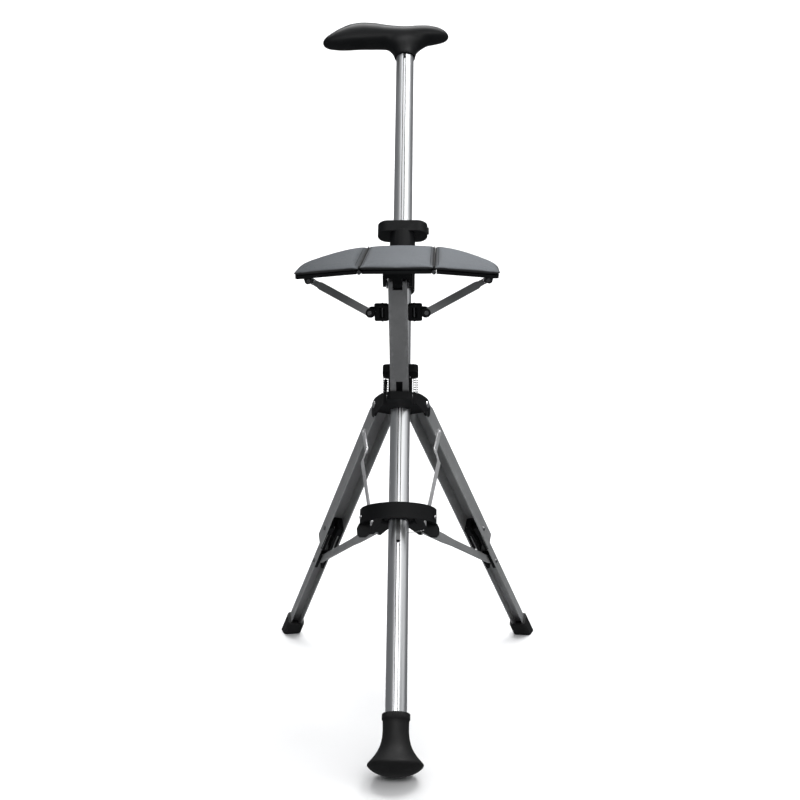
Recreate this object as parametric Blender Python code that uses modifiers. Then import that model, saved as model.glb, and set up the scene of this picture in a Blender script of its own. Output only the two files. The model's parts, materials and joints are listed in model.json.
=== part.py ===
"""Walking stick seat: a leaning tube with a T handle and a rubber foot, a
three-panel padded seat carried by a sliding collar and a folding arm, and two
channel legs that fold against the tube.  Metres, +Z up, standing on z = 0."""
import math

import bmesh
import bpy
from mathutils import Matrix, Vector

for ob in list(bpy.data.objects):
    bpy.data.objects.remove(ob, do_unlink=True)

MM = 0.001

# ---- driving dimensions (mm, degrees) -------------------------------------
TILT = 35.0                 # lean of the tube from the vertical
TUBE_R, TUBE_WALL = 11.0, 1.8
TUBE_LOW, TUBE_TOP = 42.0, 905.0
SLOT = (236.0, 277.0)       # slot in the front of the tube, along the tube

ARM_U, ARM_V = 399.15, 22.0  # arm pivot on the hub: along the tube, in front of it
ARM_LEN = 133.0             # equal to collar hinge -> apex, so the collar stays on the tube
BETA = 52.0                 # base angle of that equal-sided triangle
COLLAR_U = ARM_U + 2 * ARM_LEN * math.cos(math.radians(BETA))

SEAT_REAR, SEAT_FRONT = -19.0, 168.0   # seat edges, forward of the collar hinge
PANEL_HALF, PLATE_HALF = 37.7, 35.9   # half widths of the centre pad and of the plate under it
PLATE_LOW, PLATE_TOP, PAD_TOP = 14.6, 18.1, 23.8   # heights over the pivot line
WING_X, WING_H, WING_DROOP = 38.5, 16.0, 5.0       # wing hinge and its slope at rest
LUG_OUT, LUG_DOWN, LUG_D = 59.0, 11.0, 101.0        # strut lug under the wing
CLIP_X, CLIP_S, CLIP_Q = 29.5, 33.0, 2.0           # strut pivot on the arm's clip

HUB = Vector((17.5, 406.0, -20.0))     # right leg pivot: x, along the tube, in front of it
FOOT_XY = (152.5, 428.6)    # rear sole, measured from the tube axis at the floor
STRIP_R, STRIP_ANGLE, STRIP_LEN = 43.3, -24.0, 143.0
SLIDER_U = 260.0            # slider, along the tube
LUG_W, LUG_Z = 22.0, 7.0    # slider lug, outward of the leg pivot line and over the ring's middle
LINK_R = 260.3              # running shoe, along the leg

# foot profile, radius and height along the tube axis
FOOT_OUT = [(13.2, 57.2), (13.9, 56.6), (13.9, 50.2), (13.5, 49.6), (13.3, 40.0), (13.8, 33.0),
            (15.4, 26.2), (18.4, 19.6), (22.6, 13.6), (26.4, 9.4), (28.2, 7.0), (27.9, 5.2),
            (25.4, 2.3), (20.0, -1.0), (12.6, -3.4), (5.0, -4.2)]

SIN, COS = math.sin(math.radians(TILT)), math.cos(math.radians(TILT))
FLOOR = min(u * COS - r * SIN for r, u in FOOT_OUT)   # lowest point of the rubber foot
Y_SHIFT = -261.63            # puts the middle of the footprint on y = 0


# ---- collections, materials, frames ----------------------------------------
scene_root = bpy.context.scene.collection
parts = bpy.data.collections.new("walking_stick_seat")
cutters = bpy.data.collections.new("cutters")
scene_root.children.link(parts)
scene_root.children.link(cutters)


def material(name, rgb, rough, metal):
    m = bpy.data.materials.new(name)
    m.use_nodes = True
    b = m.node_tree.nodes["Principled BSDF"]
    b.inputs["Base Color"].default_value = (*rgb, 1.0)
    b.inputs["Roughness"].default_value = rough
    b.inputs["Metallic"].default_value = metal
    m.diffuse_color = (*rgb, 1.0)
    return m


COLOURS = {
    "tube": ((0.78, 0.79, 0.80), 0.25, 1.0), "plastic": ((0.016, 0.017, 0.019), 0.42, 0.0),
    "rubber": ((0.020, 0.020, 0.021), 0.7, 0.0), "grip": ((0.022, 0.022, 0.024), 0.55, 0.0),
    "grey": ((0.17, 0.17, 0.175), 0.45, 0.6), "leg": ((0.27, 0.27, 0.28), 0.4, 0.7),
    "steel": ((0.72, 0.72, 0.73), 0.22, 1.0), "pad": ((0.10, 0.115, 0.13), 0.5, 0.0),
}


def frame(name, parent, matrix):
    e = bpy.data.objects.new(name, None)
    e.empty_display_size = 0.02
    parts.objects.link(e)
    e.parent = parent
    e.matrix_local = matrix
    return e


def T(x, y, z):
    return Matrix.Translation((x * MM, y * MM, z * MM))


def RX(a):
    return Matrix.Rotation(math.radians(a), 4, "X")


def RY(a):
    return Matrix.Rotation(math.radians(a), 4, "Y")


def RZ(a):
    return Matrix.Rotation(math.radians(a), 4, "Z")


# ---- shape helpers: every helper returns a bmesh in millimetres -------------
def block(x0, x1, y0, y1, z0, z1):
    bm = bmesh.new()
    bmesh.ops.create_cube(bm, size=1.0)
    bmesh.ops.scale(bm, vec=(x1 - x0, y1 - y0, z1 - z0), verts=bm.verts)
    bmesh.ops.translate(bm, vec=((x0 + x1) / 2, (y0 + y1) / 2, (z0 + z1) / 2), verts=bm.verts)
    return bm


def rod(r, a, b, seg=20, r2=None):
    """Round bar from point a to point b."""
    a, b = Vector(a), Vector(b)
    bm = bmesh.new()
    bmesh.ops.create_cone(bm, cap_ends=True, segments=seg, radius1=r,
                          radius2=r if r2 is None else r2, depth=(b - a).length)
    q = Vector((0, 0, 1)).rotation_difference(b - a).to_matrix().to_4x4()
    bmesh.ops.transform(bm, matrix=Matrix.Translation((a + b) / 2) @ q, verts=bm.verts)
    return bm


def plate(points, t0, t1, axis="Z"):
    """Flat outline (counter-clockwise) filled and given thickness t0..t1."""
    cu = bpy.data.curves.new("outline", "CURVE")
    cu.dimensions = "2D"
    cu.fill_mode = "BOTH"
    cu.extrude = (t1 - t0) / 2
    sp = cu.splines.new("POLY")
    sp.points.add(len(points) - 1)
    for p, (x, y) in zip(sp.points, points):
        p.co = (x, y, 0, 1)
    sp.use_cyclic_u = True
    ob = bpy.data.objects.new("outline", cu)
    scene_root.objects.link(ob)
    dg = bpy.context.evaluated_depsgraph_get()
    me = bpy.data.meshes.new_from_object(ob.evaluated_get(dg))
    bpy.data.objects.remove(ob, do_unlink=True)
    bm = bmesh.new()
    bm.from_mesh(me)
    bpy.data.meshes.remove(me)
    bmesh.ops.remove_doubles(bm, verts=bm.verts, dist=0.001)
    bmesh.ops.translate(bm, vec=(0, 0, (t0 + t1) / 2), verts=bm.verts)
    turn = {"Z": Matrix(), "X": Matrix(((0, 0, 1, 0), (1, 0, 0, 0), (0, 1, 0, 0), (0, 0, 0, 1))),
            "Y": Matrix(((1, 0, 0, 0), (0, 0, -1, 0), (0, 1, 0, 0), (0, 0, 0, 1)))}[axis]
    bmesh.ops.transform(bm, matrix=turn, verts=bm.verts)
    bmesh.ops.recalc_face_normals(bm, faces=bm.faces)
    return bm


def turned(profile, steps=32):
    """Closed turned shape from a profile that runs down the outer side."""
    me = bpy.data.meshes.new("profile")
    bm = bmesh.new()
    vs = [bm.verts.new((r, 0, z)) for r, z in profile]
    for a, b in zip(vs, vs[1:]):
        bm.edges.new((a, b))
    bm.to_mesh(me)
    bm.free()
    ob = bpy.data.objects.new("profile", me)
    scene_root.objects.link(ob)
    m = ob.modifiers.new("turn", "SCREW")
    m.steps = m.render_steps = steps
    m.use_merge_vertices = True
    m.merge_threshold = 0.0001
    dg = bpy.context.evaluated_depsgraph_get()
    out = bpy.data.meshes.new_from_object(ob.evaluated_get(dg))
    bpy.data.objects.remove(ob, do_unlink=True)
    bm = bmesh.new()
    bm.from_mesh(out)
    bpy.data.meshes.remove(out)
    bmesh.ops.remove_doubles(bm, verts=bm.verts, dist=0.001)
    bmesh.ops.recalc_face_normals(bm, faces=bm.faces)
    return bm


def arc(cx, cy, r, a0, a1, n=8):
    return [(cx + r * math.cos(math.radians(a0 + (a1 - a0) * i / n)),
             cy + r * math.sin(math.radians(a0 + (a1 - a0) * i / n))) for i in range(n + 1)]


def stadium(p, q, r, n=6):
    """Outline of a bar with round ends about p and q."""
    a = math.degrees(math.atan2(q[1] - p[1], q[0] - p[0]))
    return arc(*p, r, a + 90, a + 270, n) + arc(*q, r, a - 90, a + 90, n)


def rounded(x0, x1, y0, y1, r, n=3):
    return (arc(x1 - r, y1 - r, r, 0, 90, n) + arc(x0 + r, y1 - r, r, 90, 180, n)
            + arc(x0 + r, y0 + r, r, 180, 270, n) + arc(x1 - r, y0 + r, r, 270, 360, n))


def moved(bm, matrix):
    m = matrix.copy()
    m.translation = m.translation / MM
    bmesh.ops.transform(bm, matrix=m, verts=bm.verts)
    return bm


# ---- objects ----------------------------------------------------------------
def to_object(name, bm, coll, parent, local=None):
    bmesh.ops.scale(bm, vec=(MM, MM, MM), verts=bm.verts)
    me = bpy.data.meshes.new(name)
    bm.to_mesh(me)
    bm.free()
    ob = bpy.data.objects.new(name, me)
    coll.objects.link(ob)
    ob.parent = parent
    ob.matrix_local = local or Matrix()
    return ob


def piece(name, colour, parent, base, *steps, bevel=0.0, smooth=35.0, local=None):
    """One solid: base, then ('+', shape) joins and ('-', shape) cuts."""
    ob = to_object(name, base, parts, parent, local)
    ob.data.materials.append(material(name + "_finish", *COLOURS[colour]))
    for i, (op, bm) in enumerate(steps):
        cut = to_object("%s_tool_%d" % (name, i), bm, cutters, parent, local)
        cut.hide_render = True
        cut.display_type = "WIRE"
        m = ob.modifiers.new("step_%d" % i, "BOOLEAN")
        m.operation = "UNION" if op == "+" else "DIFFERENCE"
        m.solver = "EXACT"
        m.object = cut
    if steps:
        m = ob.modifiers.new("tidy", "WELD")
        m.merge_threshold = 0.00001
    if bevel:
        m = ob.modifiers.new("edges", "BEVEL")
        m.width = bevel * MM
        m.segments = 2
        m.limit_method = "ANGLE"
        m.angle_limit = math.radians(40)
    ob.data.shade_smooth()
    ob.data.set_sharp_from_angle(angle=math.radians(smooth))
    return ob


def mirrored(ob, name):
    """The left-hand copy of a right-hand piece, with its origin mirrored too."""
    bpy.context.view_layer.update()
    dg = bpy.context.evaluated_depsgraph_get()
    me = bpy.data.meshes.new_from_object(ob.evaluated_get(dg))
    me.transform(ob.matrix_world)
    me.transform(Matrix.Diagonal((-1, 1, 1, 1)))
    me.flip_normals()
    org = ob.matrix_world.translation.copy()
    org.x = -org.x
    me.transform(Matrix.Translation(-org))
    new = bpy.data.objects.new(name, me)
    new.location = org
    parts.objects.link(new)
    return new


# ---- frames -----------------------------------------------------------------
stick = frame("stick_axis", None, Matrix.Translation((0, Y_SHIFT * MM, -FLOOR * MM)) @ RX(-TILT))
# in the stick frame: x to the right, y backward, z up along the tube
arm_f = frame("arm_pivot", stick, T(0, -ARM_V, ARM_U) @ RX(BETA))
seat_f = frame("seat_apex", arm_f, T(0, 0, ARM_LEN) @ RX(90 - 2 * BETA))
collar_f = frame("collar_hinge", stick, T(0, -ARM_V, COLLAR_U))
wing_f = frame("wing_hinge_right", seat_f, T(WING_X, ARM_LEN - LUG_D, WING_H) @ RY(WING_DROOP))


def seat_y(d):
    """Seat frame y of a place d mm forward of the collar hinge."""
    return ARM_LEN - d


# rear leg: its plane holds the tube direction and turns ALPHA off the back
foot_u = FOOT_XY[1] * SIN + FLOOR * COS
foot_v = -FOOT_XY[1] * COS + FLOOR * SIN
reach = Vector((FOOT_XY[0] - HUB.x, HUB.z - foot_v))
ALPHA = math.degrees(math.atan2(reach.x, reach.y))
PHI = math.degrees(math.atan2(reach.length, HUB.y - foot_u))
LEG_LEN = math.hypot(reach.length, HUB.y - foot_u)
hub_f = frame("leg_plane_right", stick, T(HUB.x, -HUB.z, HUB.y) @ RZ(-ALPHA))
leg_f = frame("leg_hinge_right", hub_f, RX(PHI))
# slider lug and link bar lie in the same plane
link_from = Vector((HUB.y - SLIDER_U - LUG_Z, LUG_W))
link_to = Vector((LINK_R * math.cos(math.radians(PHI)), LINK_R * math.sin(math.radians(PHI))))
PSI = math.degrees(math.atan2(link_to.y - link_from.y, link_to.x - link_from.x))
LINK_LEN = (link_to - link_from).length
slider_f = frame("slider_axis", stick, T(0, 0, SLIDER_U))
link_f = frame("link_hinge_right", hub_f, T(0, LUG_W, -(HUB.y - SLIDER_U - LUG_Z)) @ RX(PSI))
shoe_f = frame("shoe_hinge_right", leg_f, T(0, 0, -LINK_R))
strip_f = frame("strip_hinge_right", leg_f, T(0, 0, -STRIP_R) @ RX(STRIP_ANGLE - PHI))

# ---- stick ------------------------------------------------------------------
hole_dir = Vector((math.sin(math.radians(46)), -math.cos(math.radians(46)), 0))
piece("pole_tube", "tube", stick, rod(TUBE_R, (0, 0, TUBE_LOW), (0, 0, TUBE_TOP), 36),
      ("-", rod(TUBE_R - TUBE_WALL, (0, 0, TUBE_LOW - 5), (0, 0, TUBE_TOP + 5), 24)),
      ("-", block(-3.3, -2.5, -11.6, -10.1, TUBE_LOW - 4, TUBE_TOP + 4)),
      ("-", block(2.5, 3.3, -11.6, -10.1, TUBE_LOW - 4, TUBE_TOP + 4)),
      ("-", plate(stadium((0, SLOT[0]), (0, SLOT[1]), 2.1), 7.6, 12.5, "Y")),
      ("-", rod(1.4, hole_dir * 8 + Vector((0, 0, 466)), hole_dir * 13 + Vector((0, 0, 466)), 10)))
# flat strip that runs inside the tube and carries the slider
piece("slide_strip", "steel", slider_f, block(-3.4, 3.4, -7.4, -5.6, -22, 60),
      ("+", rod(1.5, (0, -6.5, 9.0), (0, -12.6, 9.0), 12)))
piece("foot_tip", "rubber", stick,
      turned([(0.0, 40.0), (11.35, 40.0), (11.35, 57.2)] + FOOT_OUT + [(0.0, -4.3)], 24))


def loft(stations, seg=16):
    """Closed form along x: elliptic sections (x, centre z, half height, half depth)."""
    bm = bmesh.new()
    rings = []
    for x, zc, a, b in stations:
        rings.append([bm.verts.new((x, b * math.cos(2 * math.pi * i / seg),
                                    zc + a * math.sin(2 * math.pi * i / seg))) for i in range(seg)])
    for r0, r1 in zip(rings, rings[1:]):
        for i in range(seg):
            j = (i + 1) % seg
            bm.faces.new((r0[i], r0[j], r1[j], r1[i]))
    bm.faces.new(rings[0][::-1])
    bm.faces.new(rings[-1])
    bmesh.ops.recalc_face_normals(bm, faces=bm.faces)
    return bm




def stacked(sections, seg=20):
    """Closed form along z: elliptic sections (z, centre x, half width, half depth)."""
    bm = bmesh.new()
    rings = []
    for z, xc, a, b in sections:
        rings.append([bm.verts.new((xc + a * math.cos(2 * math.pi * i / seg),
                                    b * math.sin(2 * math.pi * i / seg), z)) for i in range(seg)])
    for r0, r1 in zip(rings, rings[1:]):
        for i in range(seg):
            j = (i + 1) % seg
            bm.faces.new((r0[i], r0[j], r1[j], r1[i]))
    bm.faces.new(rings[0][::-1])
    bm.faces.new(rings[-1])
    bmesh.ops.recalc_face_normals(bm, faces=bm.faces)
    return bm


# bar of the handle: humps left and right of a saddle, the long end drooping
piece("handle_grip", "grip", stick,
      loft([(-106, 908.6, 2.4, 3.2), (-103, 909.4, 6.2, 6.6), (-96, 911.2, 10.2, 9.8),
            (-85, 914.4, 14.2, 12.2), (-71, 917.8, 17.4, 13.8), (-56, 919.6, 18.2, 14.3),
            (-38, 919.0, 17.6, 14.5), (-18, 917.4, 15.6, 14.7), (0, 916.6, 14.2, 14.8),
            (16, 918.4, 14.0, 14.2), (30, 919.8, 12.8, 13.0), (42, 919.6, 10.6, 11.2),
            (50, 918.4, 7.6, 8.4), (54.5, 917.4, 4.2, 5.0), (55.7, 917.2, 2.0, 2.4)]),
      # neck that flares into the bar
      ("+", stacked([(881.5, 0, 13.0, 13.0), (888, -0.4, 13.6, 13.2), (893.5, -0.8, 15.4, 13.6),
                     (898, -1.2, 18.6, 13.9), (902, -1.2, 23.4, 14.0), (906, -0.6, 29.5, 13.8), (915, -0.6, 31.0, 13.2)])),
      ("-", rod(TUBE_R + 0.35, (0, 0, 870), (0, 0, TUBE_TOP + 1), 28)),
      ("-", block(-1.3, 1.3, -20, -8, 870, 886.0)))

# ---- hub --------------------------------------------------------------------
hub_plan = [(34.5 * math.cos(math.radians(a)), (17.5 if math.sin(math.radians(a)) < 0 else 36.0)
             * math.sin(math.radians(a))) for a in range(0, 360, 10)]


HUB_WALL = [(-27.0, -7.0), (2.0, -7.0), (2.0, 7.4), (-3.0, 7.3), (-15.0, 5.6), (-27.0, 2.6)]


def hub_shape(bm, side):
    return moved(bm, T(side * HUB.x, -HUB.z, HUB.y) @ RZ(-side * ALPHA))


piece("hub_housing", "plastic", stick,
      plate(hub_plan, 393.0, 406.8),
      # room for the tops of the legs, open to the back and below
      ("-", hub_shape(block(-11.6, 11.5, -15.5, 40, -40, 14.8), 1)),
      ("-", hub_shape(block(-11.5, 11.6, -15.5, 40, -40, 14.8), -1)),
      # flat flanks square to the leg pins
      ("-", hub_shape(block(13.5, 60, -70, 50, -40, 40), 1)),
      ("-", hub_shape(block(-60, -13.5, -70, 50, -40, 40), -1)),
      # round cheeks outside the legs
      ("+", hub_shape(plate(stadium((0, -1.6), (0, -5.8), 9.2, 9), 11.4, 13.3, "X"), 1)),
      ("+", hub_shape(plate(stadium((0, -1.6), (0, -5.8), 9.2, 9), -13.3, -11.4, "X"), -1)),
      # walls that rise from the front to the cheeks
      ("+", hub_shape(plate(HUB_WALL, 11.45, 13.4, "X"), 1)),
      ("+", hub_shape(plate(HUB_WALL, -13.4, -11.45, "X"), -1)),
      # blocks that carry the hinge pins inside the channels
      ("+", hub_shape(rod(8.6, (-9.0, 0, 0), (9.0, 0, 0), 20), 1)),
      ("+", hub_shape(rod(8.6, (-9.0, 0, 0), (9.0, 0, 0), 20), -1)),
      ("+", hub_shape(block(-8.9, 8.9, -13, 0, -7.0, 7.0), 1)),
      ("+", hub_shape(block(-8.9, 8.9, -13, 0, -7.0, 7.0), -1)),
      ("+", hub_shape(block(-8.8, 8.8, -20, -12, -6.8, 0.4), 1)),
      ("+", hub_shape(block(-8.8, 8.8, -20, -12, -6.8, 0.4), -1)),
      ("-", block(-30, 30, 14.0, 60.0, 380.0, 399.6)),
      ("+", rod(14.4, (0, 0, 399.2), (0, 0, 406.1), 28)),
      ("+", block(-13.1, 13.1, -12.4, 5.0, 400.0, 426.0)),
      ("+", rod(12.7, (0, 0, 399.8), (0, 0, 426.4), 28)),
      # front pocket for the fork of the arm
      ("+", plate(rounded(-14.0, 14.0, -34.0, -8.0, 5.0), 390.2, 399.4)),
      ("-", block(3.1, 10.6, -31.4, -16.2, 393.4, 425.0)),
      ("-", block(-10.6, -3.1, -31.4, -16.2, 393.4, 425.0)),
      ("-", block(-10.6, 10.6, -60.0, -27.6, 399.5, 440.0)),
      ("+", plate(stadium((-ARM_V, ARM_U), (-ARM_V + 6, ARM_U - 3.2), 5.0), -2.9, 2.9, "X")),
      # bores for the tube and the pins
      ("-", rod(TUBE_R + 0.35, (0, 0, 370), (0, 0, 440), 28)),
      ("-", rod(2.45, (-25, -ARM_V, ARM_U), (25, -ARM_V, ARM_U), 14)),
      ("-", hub_shape(rod(2.95, (-14, 0, 0), (24, 0, 0), 16), 1)),
      ("-", hub_shape(rod(2.95, (-24, 0, 0), (14, 0, 0), 16), -1)))
pin_r = piece("leg_hinge_pin_right", "steel", hub_f, rod(2.6, (-12.6, 0, 0), (14.0, 0, 0), 16),
              ("+", rod(4.3, (13.7, 0, 0), (15.2, 0, 0), 20, 3.2)))
mirrored(pin_r, "leg_hinge_pin_left")
piece("arm_pivot_pin", "steel", arm_f, rod(2.1, (-14.6, 0, 0), (14.6, 0, 0), 14))

# spring block on the tube, and the two coil springs under it
block_f = frame("spring_block_axis", stick, T(0, 0, 435.5))
piece("spring_block", "plastic", block_f, plate(rounded(-20.0, 20.0, -15.4, 3.0, 5.0, 4), -3.5, 6.5),
      ("-", rod(TUBE_R + 0.35, (0, 0, -20), (0, 0, 20), 28)))


def coil(name, x):
    """Compression spring between the hub and the block."""
    cu = bpy.data.curves.new(name, "CURVE")
    cu.dimensions = "3D"
    cu.bevel_depth = 0.5 * MM
    cu.bevel_resolution = 0
    cu.use_fill_caps = True
    turns, per, r, low, high = 8.0, 10, 2.9, 407.0, 430.8
    n = int(turns * per)
    sp = cu.splines.new("POLY")
    sp.points.add(n)
    for i, p in enumerate(sp.points):
        a = 2 * math.pi * i / per
        p.co = ((x + r * math.cos(a)) * MM, (-2.0 + r * math.sin(a)) * MM,
                (low + 0.7 + (high - low - 0.7) * i / n) * MM, 1)
    ob = bpy.data.objects.new(name, cu)
    parts.objects.link(ob)
    ob.parent = stick
    cu.materials.append(material(name + "_finish", *COLOURS["steel"]))
    return ob


coil("spring_right", 16.9)
coil("spring_left", -16.9)

# ---- seat arm ---------------------------------------------------------------
piece("seat_arm", "grey", arm_f,
      plate(stadium((0, 0), (0, ARM_LEN), 5.0), -10.0, 10.0, "X"),
      ("-", block(-8.2, 8.2, -3.2, 9, -9, ARM_LEN + 9)),
      ("-", block(-3.6, 3.6, -9, 0, -9, 20.0)),
      ("-", block(-5.3, 5.3, -9, 0, ARM_LEN - 5.6, ARM_LEN + 9)),
      ("-", rod(2.4, (-14, 0, 0), (14, 0, 0), 14)),
      ("-", rod(2.4, (-14, 0, ARM_LEN), (14, 0, ARM_LEN), 14)))
piece("apex_pin", "steel", arm_f, rod(2.1, (-10.6, 0, ARM_LEN), (10.6, 0, ARM_LEN), 14),
      ("+", rod(5.4, (10.4, 0, ARM_LEN), (11.9, 0, ARM_LEN), 20)),
      ("+", rod(5.4, (-11.9, 0, ARM_LEN), (-10.4, 0, ARM_LEN), 20)))
# clip on the side of the arm: two arms round a pin, and an ear behind the strut
zc = ARM_LEN - CLIP_S
zb = zc - 1.8
clip = piece("strut_clip_right", "plastic", arm_f, block(10.3, 14.6, 2.0, 7.2, zb - 8.4, zb + 8.4),
             ("+", plate(rounded(11.0, 25.0, 2.2, 7.6, 2.0), zb + 6.0, zb + 9.4)),
             ("+", plate(rounded(11.0, 25.0, 2.2, 7.6, 2.0), zb - 9.4, zb - 6.0)),
             ("+", plate(rounded(19.4, 25.6, 1.9, 7.9, 2.4), zb - 8.8, zb + 8.8)),
             ("+", block(13.0, 21.0, 6.9, 7.7, zb - 8.0, zb + 8.0)),
             ("+", plate(stadium((23.0, zc), (CLIP_X - 1.0, zc), 4.2), -6.6, -4.0, "Y")),
             ("-", rod(1.75, (17.0, 4.9, zb - 14), (17.0, 4.9, zb + 14), 10)))
mirrored(clip, "strut_clip_left")
cpin = piece("clip_pin_right", "steel", arm_f, rod(1.4, (17.0, 4.9, zb - 10.6), (17.0, 4.9, zb + 10.6), 10))
mirrored(cpin, "clip_pin_left")

# ---- seat -------------------------------------------------------------------
BARRELS = ((6.0, 46.0), (118.0, 164.0))


def along(d0, d1):
    return seat_y(d1), seat_y(d0)


base_steps = [("+", block(-13, 13, *along(-8, ARM_LEN + 9), 10.5, 15.2)),
              ("+", plate(stadium((seat_y(0), 0), (seat_y(0), 11), 5.6), 4.7, 8.8, "X")),
              ("+", plate(stadium((seat_y(0), 0), (seat_y(0), 11), 5.6), -8.8, -4.7, "X")),
              ("+", plate(stadium((seat_y(ARM_LEN), 0), (seat_y(ARM_LEN), 11), 5.2), -4.7, 4.7, "X"))]
base_steps.append(("+", block(-14.0, 14.0, seat_y(ARM_LEN) - 6.4, seat_y(ARM_LEN) + 7.2, 5.9, 11.0)))
for s in (1, -1):
    # side cheeks beside the arm, hinge leaves and barrels
    base_steps.append(("+", plate(stadium((seat_y(ARM_LEN) + 2, 3.0), (seat_y(ARM_LEN) + 2, 9.4), 7.0),
                                  min(s * 12.4, s * 15.6), max(s * 12.4, s * 15.6), "X")))
    for d0, d1 in BARRELS:
        base_steps.append(("+", block(min(s * 33, s * 38), max(s * 33, s * 38), *along(d0 + 0.4, d1 - 0.4), PLATE_LOW + 0.3, PLATE_TOP - 0.6)))
        base_steps.append(("+", rod(2.15, (s * WING_X, seat_y(d0), WING_H), (s * WING_X, seat_y(d1), WING_H), 14)))
for s in (1, -1):
    base_steps.append(("-", rod(1.45, (s * WING_X, seat_y(-30), WING_H), (s * WING_X, seat_y(190), WING_H), 12)))
# tail of the apex lug that closes the cut-out of the arm
base_steps.append(("+", plate(stadium((seat_y(ARM_LEN), 0), (seat_y(ARM_LEN) + 2.2, -8.8), 2.5), -4.6, 4.6, "X")))
base_steps += [("-", rod(2.4, (-14, seat_y(0), 0), (14, seat_y(0), 0), 14)),
               ("-", rod(2.4, (-12.2, seat_y(ARM_LEN), 0), (12.2, seat_y(ARM_LEN), 0), 14))]
piece("seat_base", "plastic", seat_f,
      plate(rounded(-PLATE_HALF, PLATE_HALF, *along(SEAT_REAR + 1, SEAT_FRONT - 1), 2.0),
            PLATE_LOW, PLATE_TOP), *base_steps)
piece("centre_pad", "pad", seat_f,
      plate(rounded(-PANEL_HALF, PANEL_HALF, *along(SEAT_REAR, SEAT_FRONT), 2.5), PLATE_TOP + 0.3, PAD_TOP), bevel=2.0)
wpin = piece("wing_pin_right", "steel", seat_f,
             rod(1.15, (WING_X, seat_y(4.0), WING_H), (WING_X, seat_y(165.0), WING_H), 12),
             ("+", rod(2.2, (WING_X, seat_y(164.6), WING_H), (WING_X, seat_y(167.6), WING_H), 16)))
mirrored(wpin, "wing_pin_left")


def wing_outline(g, inner):
    """Wing in plan: full depth at the hinge, rear edge sweeping forward to a round end."""
    def y(d):
        return LUG_D - d
    pts = [(inner, y(SEAT_FRONT + g)), (54.0, y(166.0 + g))]
    pts += [(60.0 + (8.0 + g) * math.sin(math.radians(a)), y(158.0 + (8.0 + g) * math.cos(math.radians(a))))
            for a in range(0, 91, 18)][1:]
    pts += [(68.0 + g, y(112.0)), (66.0 + g, y(98.0)), (61.0 + g, y(82.0)), (53.0 + g * 0.8, y(60.0) + g * 0.5),
            (43.0 + g * 0.7, y(37.0) + g * 0.6), (31.0 + g * 0.5, y(14.0) + g * 0.8), (19.0, y(-4.5) + g),
            (9.0, y(-14.5) + g), (inner, y(SEAT_REAR) + g)]
    return pts


w0, w1, w2 = PLATE_LOW - WING_H, PLATE_TOP - WING_H, PAD_TOP - WING_H
lug_plan = [(LUG_OUT - 2.7, w0 + 0.5)] + arc(LUG_OUT + 0.9, -LUG_DOWN, 3.6, 180, 360, 8) + [(LUG_OUT + 6.4, w0 + 0.5)]
wing = piece("wing_base_right", "plastic", wing_f, plate(wing_outline(-1.0, 2.6), w0, w1),
             ("+", block(0.6, 5.0, LUG_D - 116.6, LUG_D - 47.4, w0 + 0.3, w1 - 0.6)),
             ("+", rod(2.15, (0, LUG_D - 117.0, 0), (0, LUG_D - 47.0, 0), 14)),
             ("-", rod(1.45, (0, -120, 0), (0, 160, 0), 12)),
             ("+", plate(lug_plan, -9.4, -6.8, "Y")),
             ("+", plate(lug_plan, 6.8, 9.4, "Y")),
             ("-", rod(1.9, (LUG_OUT, -12, -LUG_DOWN), (LUG_OUT, 12, -LUG_DOWN), 14)))
mirrored(wing, "wing_base_left")
wpad = piece("wing_pad_right", "pad", wing_f, plate(wing_outline(0.0, 0.9), w1 + 0.3, w2), bevel=2.0)
mirrored(wpad, "wing_pad_left")

# strut: a knuckle turns on the wing lug, the flat bar turns in the knuckle
bpy.context.view_layer.update()
lug_w = wing_f.matrix_world @ Vector((LUG_OUT * MM, 0, -LUG_DOWN * MM))
clip_w = arm_f.matrix_world @ Vector((CLIP_X * MM, -CLIP_Q * MM, zc * MM))
sv = wing_f.matrix_world.to_3x3().inverted() @ (clip_w - lug_w)
STRUT_LEN = sv.length / MM
KAPPA = math.degrees(math.atan2(-sv.z, -sv.x))
ETA = math.degrees(math.atan2(sv.y, math.hypot(sv.x, sv.z)))
knuckle_f = frame("knuckle_hinge_right", wing_f, T(LUG_OUT, 0, -LUG_DOWN) @ RY(-KAPPA))
# in the knuckle frame the bar leaves along -x; it turns about z
strut_f = frame("strut_hinge_right", knuckle_f, RZ(-ETA))
knuckle = piece("strut_knuckle_right", "steel", knuckle_f,
                rod(1.6, (0, -10.4, 0), (0, 9.2, 0), 14), ("+", rod(2.4, (0, -10.8, 0), (0, -9.7, 0), 16)),
                ("+", rod(5.0, (0, 0, -1.8), (0, 0, 1.8), 20)), ("+", rod(1.2, (0, 0, -3.9), (0, 0, 3.9), 12)))
mirrored(knuckle, "strut_knuckle_left")
strut = piece("strut_right", "grey", strut_f,
              plate(stadium((-8.6, 0), (-24.0, 0), 3.2, 7), -1.1, 1.1, "Y"),
              ("+", plate(stadium((-14.5, 0), (-STRUT_LEN, 0), 4.2, 7), -1.1, 1.1, "Y")),
              ("+", plate(stadium((0, 0), (-5.0, 0), 2.1), 2.15, 3.1, "Z")),
              ("+", plate(stadium((0, 0), (-5.0, 0), 2.1), -3.1, -2.15, "Z")),
              ("-", rod(1.5, (0, 0, -6), (0, 0, 6), 12)),
              ("+", rod(5.0, (-STRUT_LEN, -1.4, 0), (-STRUT_LEN, 1.4, 0), 20)),
              ("+", rod(2.4, (-STRUT_LEN, -2.8, 0), (-STRUT_LEN, -0.5, 0), 16)))
mirrored(strut, "strut_left")

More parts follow.
